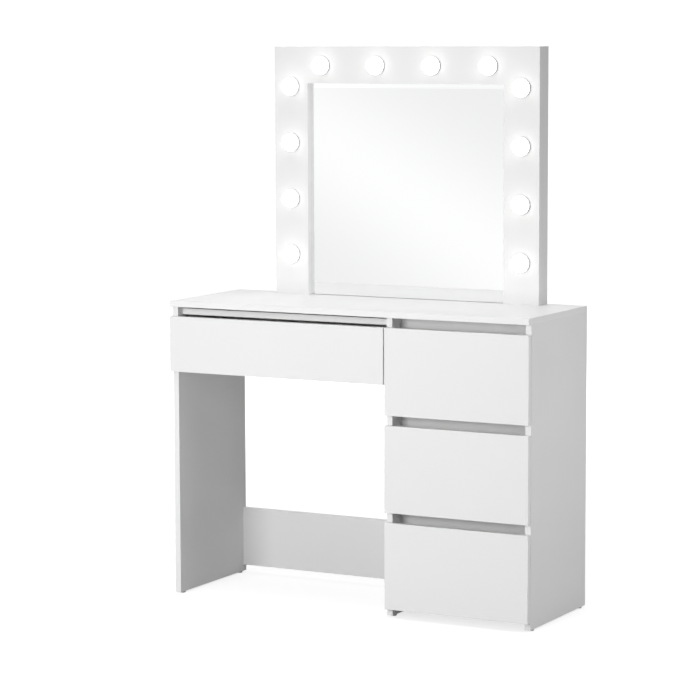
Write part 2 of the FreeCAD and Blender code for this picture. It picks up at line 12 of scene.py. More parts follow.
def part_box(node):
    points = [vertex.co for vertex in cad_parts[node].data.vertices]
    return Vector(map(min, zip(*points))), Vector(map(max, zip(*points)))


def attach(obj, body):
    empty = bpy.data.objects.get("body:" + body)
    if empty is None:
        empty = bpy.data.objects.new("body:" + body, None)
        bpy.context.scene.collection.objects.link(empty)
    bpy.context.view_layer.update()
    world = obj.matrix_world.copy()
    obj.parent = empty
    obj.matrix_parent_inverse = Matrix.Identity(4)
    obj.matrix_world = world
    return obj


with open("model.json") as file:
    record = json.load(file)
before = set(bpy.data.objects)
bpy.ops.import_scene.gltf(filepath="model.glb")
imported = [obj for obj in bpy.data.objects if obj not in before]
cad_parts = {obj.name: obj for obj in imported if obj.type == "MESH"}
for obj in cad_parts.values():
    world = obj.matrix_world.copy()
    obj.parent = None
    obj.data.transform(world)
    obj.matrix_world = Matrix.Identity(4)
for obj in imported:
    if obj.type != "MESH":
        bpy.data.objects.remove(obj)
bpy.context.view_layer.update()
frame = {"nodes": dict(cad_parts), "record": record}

MM = 0.001
DRAWERS = ("wide_drawer", "upper_drawer", "middle_drawer", "lower_drawer")

# ---------------------------------------------------------------- camera
CAMERA_AT = (3.114, -5.963, 1.426)
CAMERA_YAW = 28.13           # degrees, as are the next two
CAMERA_PITCH = 6.65          # downwards
CAMERA_ROLL = -0.18
CAMERA_LENS = 138.4          # millimetres, as is the sensor's width
SENSOR = 36.0
FAR_CLIP = 200.0

# ---------------------------------------------------------------- studio
# name: (place, target, size, watts, seen in gloss)
SOFTBOXES = {
    "front": ((-0.5, -3.2, 1.15), (0.0, 0.0, 0.55), 1.6, 70.0, False),
    "front_right": ((4.0, -2.5, 1.2), (0.5, 0.0, 0.6), 1.2, 13.2, True),
    "right": ((1.6, -0.1, 0.65), (0.5, 0.0, 0.55), 0.7, 4.6, False),
    "top": ((0.0, -0.6, 4.0), (0.0, 0.0, 0.0), 3.0, 66.0, True),
    "back": ((-1.5, 4.5, 2.0), (0.0, 0.0, 0.7), 3.0, 70.0, False),
    "left": ((-4.5, 0.3, 1.4), (-0.5, 0.0, 0.6), 2.0, 40.0, True),
}
FILL_EVEN = 0.08             # the world's fill light at the horizon and below
FILL_ABOVE = 0.20            # what is added to it straight above
BACKDROP = 1.05              # the world's level to the camera
IN_GLOSS = 1.0               # its level to glossy faces
FLOOR_HALF = 60.0
FLOOR_IN_GLOSS = 0.82        # the floor's glow to glossy faces, beside its glow to the camera
FLOOR_BOUNCE = 0.4           # its diffuse grey
FLOOR_UNEVEN = 0.01
FLOOR_CLOUDS = 0.8           # cells per metre
FLOOR_GLOW = (0.74, 1.0)     # near the object, and far away
FLOOR_FADE = (1.0, 3.5)      # the distances where near ends and far starts
STREAK_AT = (-2.24, -4.32, 0.73)
STREAK_SIZE = (3.4, 1.6)
STREAK_SLOPE = 28.4          # degrees
STREAK_SOFT = 0.25           # how far from its middle line the streak has dimmed to 0.6
STREAK_WATTS = 2.4
STREAK_ACROSS = 1            # the parametric axis that runs across the softbox

# ---------------------------------------------------------------- small hardware
DRAWER_MEMBER_AT = 6.8 * MM         # drawer member's open side, from the panel's face
DRAWER_WEB_AT = 11.5 * MM           # inner face of its web
CABINET_WEB_AT = 1.2 * MM
CAGE_STEEL = 0.5 * MM
CAGE_LENGTH = 100.0 * MM
# each cage: first X and last X from the panel's face, height off the slide's middle, lip, and its
# rear end behind the slide's front end
CAGES = (
    (2.1 * MM, 7.6 * MM, 20.1 * MM, 6.0 * MM, 282.0 * MM),
    (5.4 * MM, 10.4 * MM, 16.5 * MM, 5.0 * MM, 112.0 * MM),
)
BALL_SHARE = 0.7                    # a ball's place across its cage
BALL_R = 1.15 * MM
BALLS = 8
PAN_HEAD = (3.4 * MM, 1.6 * MM, 0.6)    # a head's radius and height, and how much of the height is round
FLAT_HEAD = (4.0 * MM, 0.5 * MM, 0.4)
CAM_DISC = (7.2 * MM, 0.7 * MM, 0.3)
SUNK = 0.3 * MM                     # how deep a head sits in what it holds
# the round part of a head: share of the radius, and share of the drop from its top
HEAD_CURVE = ((1.0, 1.0), (0.93, 0.5), (0.6, 0.1), (0.3, 0.0))
CROSS_ARM = 0.62                    # the cross recess, in shares of the head's radius
CROSS_HALF = 0.12
CROSS_FLOOR = 0.35                  # its floor, in a share of the head's height
DRAWER_SCREWS_AT = (17.0 * MM, 137.0 * MM, 277.0 * MM)     # behind the slide's front end
CABINET_SCREWS_AT = (12.0 * MM, 117.0 * MM, 287.0 * MM)
FLAT_INSET = 18.0 * MM              # box screws and cams, from a side's lower and upper edges
CAM_INSET = 24.0 * MM               # cams, behind the front end of the drawer's side
LEVER_AT = (8.6 * MM, 10.6 * MM)    # its two faces, from the panel's face
LEVER_BACK = 172.0 * MM             # behind the slide's front end
# millimetres along the slide, and up from its middle
LEVER_OUTLINE = ((0, -4), (30, -4), (46, -2), (60, 5), (66, 10), (61, 12), (50, 5), (30, 3), (0, 3))
LAMP_EDGE = 48.5 * MM               # a lamp's middle, from the front board's outer edge
SIDE_LAMP_TOP = 102.0 * MM          # the highest side lamp, below the front board's top
SIDE_LAMP_PITCH = 144.6 * MM
TOP_LAMP_PITCH = 158.0 * MM
LAMPS_IN_ROW = 4
CRISP_HARDWARE = 35.0               # degrees: edges of hardware that turn more stay sharp
RIM_R = 23.4 * MM                   # the ring that a lamp's rim bead follows
RIM_BEAD = 0.7 * MM                 # radius of the bead itself

# ---------------------------------------------------------------- colours (linear)
DESK_WHITE = (0.82, 0.82, 0.82)
# the mirror's boards: the desk's white board made darker, painted shade
MIRROR_WHITE_PAINTED_SHADE = (0.78, 0.78, 0.78)
EDGE_BAND = 1.03             # the edge band's brightness beside the face's
SEAM = (0.50, 0.50, 0.49)
# the cut faces' white, brighter than the face they are cut into: lacquer with painted light on the
# opening's jambs
CUT_OUT_WHITE_PAINTED_LIGHT = (0.93, 0.93, 0.93)
CHIPBOARD = (0.48, 0.34, 0.21)
CHIP_DARK = (0.24, 0.15, 0.08)
CHIP_LIGHT = (0.66, 0.52, 0.36)
HARDBOARD = (0.74, 0.74, 0.73)
SILVER = (0.94, 0.945, 0.945)
GLASS_EDGE = (0.30, 0.42, 0.38)
LAMP_LIGHT = (1.0, 0.985, 0.965)
OPAL = (0.90, 0.90, 0.88)
COLLAR_GREY = (0.50, 0.50, 0.51)
ZINC = (0.63, 0.64, 0.66)
BALL_STEEL = (0.72, 0.73, 0.75)
GLIDE_GREY = (0.42, 0.42, 0.43)
BLACK = (0.02, 0.02, 0.02)
SWITCH_WHITE = (0.78, 0.78, 0.76)
CASE_WHITE = (0.68, 0.68, 0.67)
LED_WHITE = (0.80, 0.80, 0.76)
BACKING_DARK = (0.20, 0.21, 0.22)
BACKING_LIGHT = (0.26, 0.27, 0.28)

# ---------------------------------------------------------------- surface detail
# texture scales are in cells per metre
NOISE_SPREAD = (0.3, 0.7)    # where most values of a noise lie
WELD_REACH = 0.001 * MM
ARRIS = 0.6 * MM
ARRIS_ANGLE = 60.0           # degrees: edges of a board that turn more are rounded
CRISP_BOARD = 20.0           # degrees: edges of a board that turn more stay sharp
BAND_WIDTH = 1.0 * MM
SEAM_AT = 1.05 * MM          # the glue line's middle, from the board's edge
SEAM_HALF = 0.2 * MM
SEAM_STRENGTH = 0.5
SEAM_SUNK = 2.0              # its depth, beside the grain's
CUT_DEPTH = (0.6 * MM, 0.9 * MM)    # inside a board's outer faces: where a cut face starts, and is full
CUT_ROUGHER = 0.4
BOARD_BUMP = (0.35, 0.05 * MM)      # a bump's strength and depth
BOARD_SPECULAR = 0.45
BOARD_CLOUDS = 2.5
BOARD_TONES = (0.985, 1.01)
BOARD_GRAIN = 1400.0
BOARD_SMUDGES = 9.0
SMUDGE_SPREAD = (0.35, 0.7)
BOARD_ROUGH = (0.36, 0.46)
GRAIN_ROUGH = (-0.03, 0.03)
FLAKES = 620.0
FLAKE_SPECKS = 900.0
SPECK_SPREAD = (0.55, 0.68)
SPECK_STRENGTH = 0.8
FIBRES = 600.0
FIBRE_PATCHES = 14.0
FIBRE_TONES = (0.94, 1.04)
FIBRE_ROUGH = (0.48, 0.62)
FIBRE_BUMP = (0.5, 0.08 * MM)
GLASS_SKIN = 0.05 * MM       # a point this near an outer face of the glass is on that face
GLASS_PLAIN_ROUGH = 0.3      # of its edges and of the paint behind it
BACKING_CLOUDS = 40.0
DOME_HAZE = 90.0
DOME_GLOW = (1.7, 2.6)       # at the rim, and from the share of the depth below on
DOME_FULL = 0.7
DOME_HAZE_GLOW = (-0.05, 0.05)
DOME_ROUGH = (0.18, 0.28)
ROLLED = (1.0, 0.03, 1.0)    # how far rolling draws the lines out: along Y only
METAL_LINES = 1500.0
METAL_BLOTCHES = (120.0, 0.08)      # scale and depth
METAL_SMOOTHER = 0.08        # how far a metal's roughness goes below its middle value, and above
METAL_ROUGHER = 0.1
METAL_BUMP = (0.3, 0.03 * MM)
PLASTIC_BLOTCHES = (60.0, 0.06)
PLASTIC_SPREAD = 0.06        # how far a plastic's roughness goes either way
PLASTIC_BUMP = 0.4

# slot: (name, colour, roughness, grain scale, grain depth)
PLASTICS = {
    "lamp_collar": ("collar_plastic", COLLAR_GREY, 0.3, 900.0, 0.02 * MM),
    "led_board": ("led_board_mask", LED_WHITE, 0.45, 700.0, 0.02 * MM),
    "grey_plastic": ("glide_plastic", GLIDE_GREY, 0.55, 800.0, 0.05 * MM),
    "black_plastic": ("inlet_plastic", BLACK, 0.4, 1000.0, 0.03 * MM),
    "white_switch": ("switch_plastic", SWITCH_WHITE, 0.25, 1000.0, 0.015 * MM),
    "driver_case": ("driver_plastic", CASE_WHITE, 0.5, 700.0, 0.05 * MM),
    "wire_insulation": ("lead_insulation", CASE_WHITE, 0.45, 900.0, 0.02 * MM),
}
# name: (colour, roughness, whether it is rolled)
METALS = {
    "zinc_hardware": (ZINC, 0.34, False),
    "slide_steel": (ZINC, 0.32, True),
    "ball_steel": (BALL_STEEL, 0.16, False),
}


# ---------------------------------------------------------------- node helpers
def add(tree, kind, **values):
    """A shader node with some of its properties or named inputs set."""
    node = tree.nodes.new(kind)
    for key, value in values.items():
        if hasattr(node, key):
            setattr(node, key, value)
        else:
            node.inputs[key.replace("_", " ")].default_value = value
    return node


def plug(tree, value, socket):
    """Sets an input socket from a number, a colour or another node's output."""
    if isinstance(value, (int, float)):
        socket.default_value = value
    elif isinstance(value, tuple):
        socket.default_value = value + (1.0,)
    else:
        tree.links.new(value, socket)


def maths(tree, operation, a, b=0.0):
    """A Math node on two sockets or numbers. Returns its output."""
    node = add(tree, "ShaderNodeMath", operation=operation)
    plug(tree, a, node.inputs[0])
    plug(tree, b, node.inputs[1])
    return node.outputs[0]


def remap(tree, value, source, target):
    """A value moved from one (first, last) range to another, clamped."""
    node = add(tree, "ShaderNodeMapRange", From_Min=source[0], From_Max=source[1],
               To_Min=target[0], To_Max=target[1])
    tree.links.new(value, node.inputs["Value"])
    return node.outputs[0]


def noise(tree, coords, scale, detail=2.0, rough=0.5):
    """The factor of a noise texture at a scale in cells per metre."""
    node = add(tree, "ShaderNodeTexNoise", Scale=scale, Detail=detail, Roughness=rough)
    tree.links.new(coords, node.inputs["Vector"])
    return node.outputs["Fac"]


def mix_colour(tree, factor, a, b):
    """Mixes two colours, given as sockets or as RGB values."""
    node = add(tree, "ShaderNodeMix", data_type="RGBA")
    plug(tree, factor, node.inputs["Factor"])
    first, second = [socket for socket in node.inputs if socket.type == "RGBA"]
    plug(tree, a, first)
    plug(tree, b, second)
    return next(socket for socket in node.outputs if socket.type == "RGBA")


def bump(tree, height, strength, distance):
    """A bump from a height socket, as a normal output."""
    node = add(tree, "ShaderNodeBump", Strength=strength, Distance=distance)
    tree.links.new(height, node.inputs["Height"])
    return node.outputs["Normal"]


def split(tree, vector):
    """The X, Y and Z outputs of a vector."""
    node = add(tree, "ShaderNodeSeparateXYZ")
    tree.links.new(vector, node.inputs[0])
    return node.outputs


def scaled(colour, factor):
    """A colour made lighter or darker."""
    return tuple(min(1.0, channel * factor) for channel in colour)


def new_material(name, colour, roughness, metallic=0.0):
    """A material with one Principled shader. Returns it with its tree, shader and coordinates."""
    material = bpy.data.materials.new(name)
    material.use_nodes = True
    tree = material.node_tree
    shader = tree.nodes["Principled BSDF"]
    plug(tree, colour, shader.inputs["Base Color"])
    plug(tree, roughness, shader.inputs["Roughness"])
    plug(tree, metallic, shader.inputs["Metallic"])
    coords = add(tree, "ShaderNodeTexCoord").outputs["Object"]
    return material, tree, shader, coords


def blotches(tree, shader, coords, colour, scale, depth):
    """Soft unevenness of a colour, by a share of its brightness."""
    cloud = noise(tree, coords, scale, detail=3.0)
    mixed = mix_colour(tree, cloud, scaled(colour, 1.0 - depth), scaled(colour, 1.0 + depth))
    tree.links.new(mixed, shader.inputs["Base Color"])


# ---------------------------------------------------------------- board materials
def faces_distance(tree, coords, low, high, axes):
    """Distance from a point on a board to the nearest of its outer faces across some axes."""
    places = split(tree, coords)
    nearest = None
    for axis in axes:
        for here in (maths(tree, "SUBTRACT", places[axis], low[axis]),
                     maths(tree, "SUBTRACT", high[axis], places[axis])):
            nearest = here if nearest is None else maths(tree, "MINIMUM", nearest, here)
    return nearest


def chipboard(tree, coords):
    """Colour of raw particle board: pressed flakes, light and dark."""
    flakes = add(tree, "ShaderNodeTexVoronoi", Scale=FLAKES, Randomness=1.0)
    tree.links.new(coords, flakes.inputs["Vector"])
    tone = split(tree, flakes.outputs["Color"])[0]
    body = mix_colour(tree, tone, CHIPBOARD, CHIP_LIGHT)
    specks = noise(tree, coords, FLAKE_SPECKS, detail=4.0, rough=0.7)
    dark = remap(tree, specks, SPECK_SPREAD, (0.0, SPECK_STRENGTH))
    return mix_colour(tree, dark, body, CHIP_DARK)


def board_material(node_name, colour, cut_outs_lit_white):
    """White melamine with a fine pearl grain, an edge band with its glue line, and raw particle board
    where an opening, a bore or a groove cuts into it, unless those cuts get a bright white: lacquer with
    painted light."""
    low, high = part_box(node_name)
    size = high - low
    thin = min(range(3), key=lambda axis: size[axis])
    wide = [axis for axis in range(3) if axis != thin]
    material, tree, shader, coords = new_material("melamine_" + node_name, colour, 0.42)

    cloud = noise(tree, coords, BOARD_CLOUDS, detail=3.0)
    face = mix_colour(tree, cloud, *(scaled(colour, tone) for tone in BOARD_TONES))
    border = faces_distance(tree, coords, low, high, wide)
    on_band = maths(tree, "LESS_THAN", border, BAND_WIDTH)
    face = mix_colour(tree, on_band, face, scaled(colour, EDGE_BAND))
    off_seam = maths(tree, "ABSOLUTE", maths(tree, "SUBTRACT", border, SEAM_AT))
    seam = remap(tree, off_seam, (0.0, SEAM_HALF), (SEAM_STRENGTH, 0.0))
    face = mix_colour(tree, seam, face, SEAM)

    grain = noise(tree, coords, BOARD_GRAIN, detail=2.0, rough=0.6)
    smudge = noise(tree, coords, BOARD_SMUDGES, detail=4.0, rough=0.55)
    rough = maths(tree, "ADD", remap(tree, smudge, SMUDGE_SPREAD, BOARD_ROUGH),
                  remap(tree, grain, NOISE_SPREAD, GRAIN_ROUGH))
    relief = maths(tree, "SUBTRACT", grain, maths(tree, "MULTIPLY", seam, SEAM_SUNK))

    outer = maths(tree, "MINIMUM", border, faces_distance(tree, coords, low, high, [thin]))
    inside = remap(tree, outer, CUT_DEPTH, (0.0, 1.0))
    # a bright white on the cut faces: lacquer with painted light that brightens the opening's jambs
    if cut_outs_lit_white:
        face = mix_colour(tree, inside, face, CUT_OUT_WHITE_PAINTED_LIGHT)
    else:
        face = mix_colour(tree, inside, face, chipboard(tree, coords))
        rough = maths(tree, "ADD", rough, maths(tree, "MULTIPLY", inside, CUT_ROUGHER))
    tree.links.new(face, shader.inputs["Base Color"])
    tree.links.new(rough, shader.inputs["Roughness"])
    tree.links.new(bump(tree, relief, *BOARD_BUMP), shader.inputs["Normal"])
    shader.inputs["Specular IOR Level"].default_value = BOARD_SPECULAR
    return material


def hardboard_material():
    """Thin fibreboard: smooth white lacquer over a faint fibre print."""
    material, tree, shader, coords = new_material("white_hardboard", HARDBOARD, 0.55)
    fibres = noise(tree, coords, FIBRES, detail=5.0, rough=0.7)
    patches = noise(tree, coords, FIBRE_PATCHES, detail=3.0)
    mean = maths(tree, "MULTIPLY", maths(tree, "ADD", fibres, patches), 0.5)
    face = mix_colour(tree, mean, *(scaled(HARDBOARD, tone) for tone in FIBRE_TONES))
    tree.links.new(face, shader.inputs["Base Color"])
    tree.links.new(remap(tree, fibres, NOISE_SPREAD, FIBRE_ROUGH), shader.inputs["Roughness"])
    tree.links.new(bump(tree, fibres, *FIBRE_BUMP), shader.inputs["Normal"])
    return material


# ---------------------------------------------------------------- glass and lamp materials
def mirror_material():
    """Silvered float glass: a mirror in front, green polished glass on its edges, and grey paint
    on its back."""
    material, tree, shader, coords = new_material("silvered_glass", SILVER, 0.0, 1.0)
    low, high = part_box("mirror_glass")
    rim = faces_distance(tree, coords, low, high, (0, 2))
    edge = maths(tree, "LESS_THAN", rim, GLASS_SKIN)
    from_back = maths(tree, "SUBTRACT", high.y, split(tree, coords)[1])
    back = maths(tree, "LESS_THAN", from_back, GLASS_SKIN)
    colour = mix_colour(tree, edge, SILVER, GLASS_EDGE)
    cloud = noise(tree, coords, BACKING_CLOUDS, detail=3.0)
    paint_tone = mix_colour(tree, cloud, BACKING_DARK, BACKING_LIGHT)
    colour = mix_colour(tree, back, colour, paint_tone)
    tree.links.new(colour, shader.inputs["Base Color"])
    plain = maths(tree, "MAXIMUM", edge, back)
    tree.links.new(maths(tree, "SUBTRACT", 1.0, plain), shader.inputs["Metallic"])
    tree.links.new(maths(tree, "MULTIPLY", plain, GLASS_PLAIN_ROUGH), shader.inputs["Roughness"])
    return material


def dome_material():
    """Opal plastic, lit from inside, a little dimmer towards its rim."""
    material, tree, shader, coords = new_material("opal_dome", OPAL, 0.22)
    low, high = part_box("lamp_domes")
    depth = remap(tree, split(tree, coords)[1], (low.y, high.y), (1.0, 0.0))
    haze = noise(tree, coords, DOME_HAZE)
    glow = maths(tree, "ADD", remap(tree, depth, (0.0, DOME_FULL), DOME_GLOW),
                 remap(tree, haze, NOISE_SPREAD, DOME_HAZE_GLOW))
    shader.inputs["Emission Color"].default_value = LAMP_LIGHT + (1.0,)
    tree.links.new(glow, shader.inputs["Emission Strength"])
    tree.links.new(remap(tree, haze, NOISE_SPREAD, DOME_ROUGH), shader.inputs["Roughness"])
    return material


# ---------------------------------------------------------------- plastic and metal
def plastic_material(name, colour, roughness, grain_scale, grain_depth):
    """Moulded plastic with a fine spark-eroded grain and soft unevenness."""
    material, tree, shader, coords = new_material(name, colour, roughness)
    blotches(tree, shader, coords, colour, *PLASTIC_BLOTCHES)
    grain = noise(tree, coords, grain_scale, detail=3.0, rough=0.6)
    rough = (roughness - PLASTIC_SPREAD, roughness + PLASTIC_SPREAD)
    tree.links.new(remap(tree, grain, NOISE_SPREAD, rough), shader.inputs["Roughness"])
    tree.links.new(bump(tree, grain, PLASTIC_BUMP, grain_depth), shader.inputs["Normal"])
    return material


def metal_material(name, colour, roughness, rolled):
    """Steel, plain or zinc-plated, with lines drawn along Y where it is rolled."""
    material, tree, shader, coords = new_material(name, colour, roughness, 1.0)
    vector = coords
    if rolled:
        stretch = add(tree, "ShaderNodeMapping")
        stretch.inputs["Scale"].default_value = ROLLED
        tree.links.new(coords, stretch.inputs["Vector"])
        vector = stretch.outputs[0]
    lines = noise(tree, vector, METAL_LINES, detail=3.0, rough=0.6)
    blotches(tree, shader, coords, colour, *METAL_BLOTCHES)
    rough = (roughness - METAL_SMOOTHER, roughness + METAL_ROUGHER)
    tree.links.new(remap(tree, lines, NOISE_SPREAD, rough), shader.inputs["Roughness"])
    tree.links.new(bump(tree, lines, *METAL_BUMP), shader.inputs["Normal"])
    return material


# ---------------------------------------------------------------- finish of the CAD nodes
def slot_of(node_name):
    """The record's material slot of a node."""
    subparts = frame["record"]["subparts"]
    return next(part["material_slot"] for part in subparts if part["node"] == node_name)


def paint(obj, material):
    """Gives an object one material."""
    obj.data.materials.clear()
    obj.data.materials.append(material)


def round_arrises(obj):
    """Rounds a board's arrises a little, as its edge band is."""
    weld = obj.modifiers.new("weld", "WELD")
    weld.merge_threshold = WELD_REACH
    arris = obj.modifiers.new("arris", "BEVEL")
    arris.width = ARRIS
    arris.segments = 2
    arris.limit_method = "ANGLE"
    arris.angle_limit = math.radians(ARRIS_ANGLE)
    crisp = obj.modifiers.new("crisp", "EDGE_SPLIT")
    crisp.split_angle = math.radians(CRISP_BOARD)


def shared_materials():
    """One material for each kind of surface, apart from the white boards."""
    shared = {
        "white_hardboard": hardboard_material(),
        "mirror_glass": mirror_material(),
        "opal_dome": dome_material(),
    }
    for slot, settings in PLASTICS.items():
        shared[slot] = plastic_material(*settings)
    for name, settings in METALS.items():
        shared[name] = metal_material(name, *settings)
    return shared


def finish_board(node_name, obj):
    """A white board's own material, and its round arrises. The mirror's front board has cut-outs in a
    white brighter than its face, lacquer with painted light, and stays sharp, because a bevel there
    shades badly between the lamps' bores."""
    # the mirror's boards are painted darker than the desk's: painted shade
    colour = MIRROR_WHITE_PAINTED_SHADE if node_name.startswith("mirror") else DESK_WHITE
    lamp_board = node_name == "mirror_front_board"
    paint(obj, board_material(node_name, colour, lamp_board))
    if not lamp_board:
        round_arrises(obj)


def finish_cad_nodes(materials):
    """Every CAD node gets the material of its slot, and each white board has its own."""
    for node_name, obj in frame["nodes"].items():
        slot = slot_of(node_name)
        if slot == "white_board":
            finish_board(node_name, obj)
        else:
            paint(obj, materials[slot])


# ---------------------------------------------------------------- small hardware
def lathe(name, rings, steps=24):
    """A turned shape about Z, from the (radius, height) of its rings, with flat ends."""
    verts = [(r * math.cos(math.tau * k / steps), r * math.sin(math.tau * k / steps), z)
             for r, z in rings for k in range(steps)]
    faces = []
    for row in range(len(rings) - 1):
        for k in range(steps):
            here = row * steps + k
            beside = row * steps + (k + 1) % steps
            faces.append((here, beside, beside + steps, here + steps))
    last_row = (len(rings) - 1) * steps
    faces.append(tuple(reversed(range(steps))))
    faces.append(tuple(range(last_row, last_row + steps)))
    mesh = bpy.data.meshes.new(name)
    mesh.from_pydata(verts, [], faces)
    return mesh


def prism(name, outline, thickness):
    """A flat shape with the given outline, from Z = 0 up by its thickness."""
    count = len(outline)
    verts = [(x, y, z) for z in (0.0, thickness) for x, y in outline]
    faces = [tuple(reversed(range(count))), tuple(range(count, 2 * count))]
    for k in range(count):
        after = (k + 1) % count
        faces.append((k, after, after + count, k + count))
    mesh = bpy.data.meshes.new(name)
    mesh.from_pydata(verts, [], faces)
    return mesh


def carved(name, body, cutter):
    """A mesh with another mesh cut out of it."""
    objects = [bpy.data.objects.new(name + "_" + part, mesh)
               for part, mesh in (("body", body), ("cutter", cutter))]
    for obj in objects:
        bpy.context.scene.collection.objects.link(obj)
    cut = objects[0].modifiers.new("cut", "BOOLEAN")
    cut.object = objects[1]
    cut.operation = "DIFFERENCE"
    cut.solver = "EXACT"
    bpy.context.view_layer.update()
    graph = bpy.context.evaluated_depsgraph_get()
    mesh = bpy.data.meshes.new_from_object(objects[0].evaluated_get(graph))
    for obj in objects:
        bpy.data.objects.remove(obj)
    return mesh


def cross_headed(name, radius, height, roundness):
    """A screw or cam head on the XY plane, with a cross recess."""
    rings = [(radius, -SUNK)]
    rings += [(radius * out, height * (1.0 - drop * roundness)) for out, drop in HEAD_CURVE]
    arm = radius * CROSS_ARM
    half = radius * CROSS_HALF
    plus = [(half, -arm), (half, -half), (arm, -half), (arm, half), (half, half), (half, arm),
            (-half, arm), (-half, half), (-arm, half), (-arm, -half), (-half, -half), (-half, -arm)]
    recess = prism(name + "_recess", plus, height * 2.0)
    recess.transform(Matrix.Translation((0.0, 0.0, height * CROSS_FLOOR)))
    return carved(name, lathe(name, rings), recess)


def ball_template():
    """One steel ball of a slide."""
    mesh = bpy.data.meshes.new("ball")
    shape = bmesh.new()
    bmesh.ops.create_icosphere(shape, subdivisions=2, radius=BALL_R)
    shape.to_mesh(mesh)
    shape.free()
    return mesh


def bead_template(steps=48, around=8):
    """The round rim bead at the foot of a lamp's dome, about Z."""
    verts = []
    for k in range(steps):
        turn = math.tau * k / steps
        for n in range(around):
            lean = math.tau * n / around
            out = RIM_R + RIM_BEAD * math.cos(lean)
            verts.append((out * math.cos(turn), out * math.sin(turn), RIM_BEAD * math.sin(lean)))
    faces = []
    for k in range(steps):
        for n in range(around):
            after = (k + 1) % steps
            above = (n + 1) % around
            faces.append((k * around + n, after * around + n,
                          after * around + above, k * around + above))
    mesh = bpy.data.meshes.new("bead")
    mesh.from_pydata(verts, [], faces)
    return mesh


def facing(place, axis):
    """A matrix that sets a template down at a place, with its Z along an axis."""
    turn = Vector(axis).to_track_quat("Z", "Y").to_matrix().to_4x4()
    return Matrix.Translation(place) @ turn


def piece(name, parts, body, material):
    """One object from (mesh, matrix) pairs, that rides on a body."""
    shape = bmesh.new()
    for mesh, matrix in parts:
        copy = mesh.copy()
        copy.transform(matrix)
        shape.from_mesh(copy)
        bpy.data.meshes.remove(copy)
    bmesh.ops.recalc_face_normals(shape, faces=shape.faces)
    for face in shape.faces:
        face.smooth = True
    whole = bpy.data.meshes.new(name)
    shape.to_mesh(whole)
    shape.free()
    whole.materials.clear()
    whole.materials.append(material)
    obj = bpy.data.objects.new(name, whole)
    bpy.context.scene.collection.objects.link(obj)
    crisp = obj.modifiers.new("crisp", "EDGE_SPLIT")
    crisp.split_angle = math.radians(CRISP_HARDWARE)
    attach(obj, body)
    return obj


def slide_faces(drawer):
    """Each side of a drawer: the panel's inner face X and the direction away from it. Then the Y of
    the slides' front ends, and the height of their middle."""
    low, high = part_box(drawer + "_slide_rails")
    middle = (low.z + high.z) / 2
    return ((low.x - DRAWER_MEMBER_AT, 1), (high.x + DRAWER_MEMBER_AT, -1)), low.y, middle


def cage_parts(drawer, ball):
    """The ball cages of a drawer's two slides: L strips with their balls, above and below."""
    faces, front, middle = slide_faces(drawer)
    half = CAGE_STEEL / 2
    strips = []
    balls = []
    for first, last, height, lip, behind in CAGES:
        rear = front + behind
        outline = [(first, height - lip), (first + CAGE_STEEL, height - lip),
                   (first + CAGE_STEEL, height - half), (last, height - half),
                   (last, height + half), (first, height + half)]
        strip = prism("cage", outline, CAGE_LENGTH)
        for face_x, outward in faces:
            for up in (1, -1):
                # the outline's X and Y become the frame's X and Z, and its height runs along Y
                setting = Matrix(((outward, 0, 0, face_x), (0, 0, -1, rear),
                                  (0, up, 0, middle), (0, 0, 0, 1)))
                strips.append((strip, setting))
                for number in range(BALLS):
                    along = rear - CAGE_LENGTH * (number + 0.5) / BALLS
                    across = face_x + outward * (first + (last - first) * BALL_SHARE)
                    balls.append((ball, Matrix.Translation((across, along, middle + up * height))))
    return strips, balls


def slide_fittings(drawer, pan, lever):
    """Screws on the drawer, screws on the cabinet, and release levers of a drawer's two slides."""
    faces, front, middle = slide_faces(drawer)
    on_drawer = []
    on_cabinet = []
    levers = []
    for face_x, outward in faces:
        drawer_web = face_x + outward * DRAWER_WEB_AT
        cabinet_web = face_x + outward * CABINET_WEB_AT
        for behind in DRAWER_SCREWS_AT:
            on_drawer.append((pan, facing((drawer_web, front + behind, middle), (-outward, 0, 0))))
        for behind in CABINET_SCREWS_AT:
            on_cabinet.append((pan, facing((cabinet_web, front + behind, middle), (outward, 0, 0))))
        # the outline's X and Y become the frame's Y and Z, and its thickness runs along X
        levers.append((lever, Matrix(((0, 0, outward, face_x + outward * LEVER_AT[0]),
                                      (1, 0, 0, front + LEVER_BACK),
                                      (0, 1, 0, middle), (0, 0, 0, 1)))))
    return on_drawer, on_cabinet, levers


def box_fittings(drawer, flat, cam):
    """Screws into a drawer's back from outside, and cams behind its front on the inside."""
    back_low, back_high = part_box(drawer + "_back")
    back_y = (back_low.y + back_high.y) / 2
    flats = []
    cams = []
    for side, outward in (("_left_side", -1), ("_right_side", 1)):
        low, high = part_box(drawer + side)
        outer = high.x if outward > 0 else low.x
        inner = low.x if outward > 0 else high.x
        for z in (low.z + FLAT_INSET, high.z - FLAT_INSET):
            flats.append((flat, facing((outer, back_y, z), (outward, 0, 0))))
            cams.append((cam, facing((inner, low.y + CAM_INSET, z), (-outward, 0, 0))))
    return flats, cams


def drawer_hardware(drawer, templates, materials):
    """Cages and balls, screws, cams and release levers of one drawer."""
    ball, pan, flat, cam, lever = templates
    strips, balls = cage_parts(drawer, ball)
    on_drawer, on_cabinet, levers = slide_fittings(drawer, pan, lever)
    flats, cams = box_fittings(drawer, flat, cam)
    zinc = materials["zinc_hardware"]
    members = drawer + "_middle_members"
    piece(drawer + "_ball_cages", strips, members, materials["slide_steel"])
    piece(drawer + "_slide_balls", balls, members, materials["ball_steel"])
    piece(drawer + "_slide_screws", on_drawer, drawer, zinc)
    piece(drawer + "_cabinet_screws", on_cabinet, "carcass", zinc)
    piece(drawer + "_back_screws", flats, drawer, zinc)
    piece(drawer + "_front_cams", cams, drawer, zinc)
    piece(drawer + "_release_levers", levers, drawer, materials["black_plastic"])


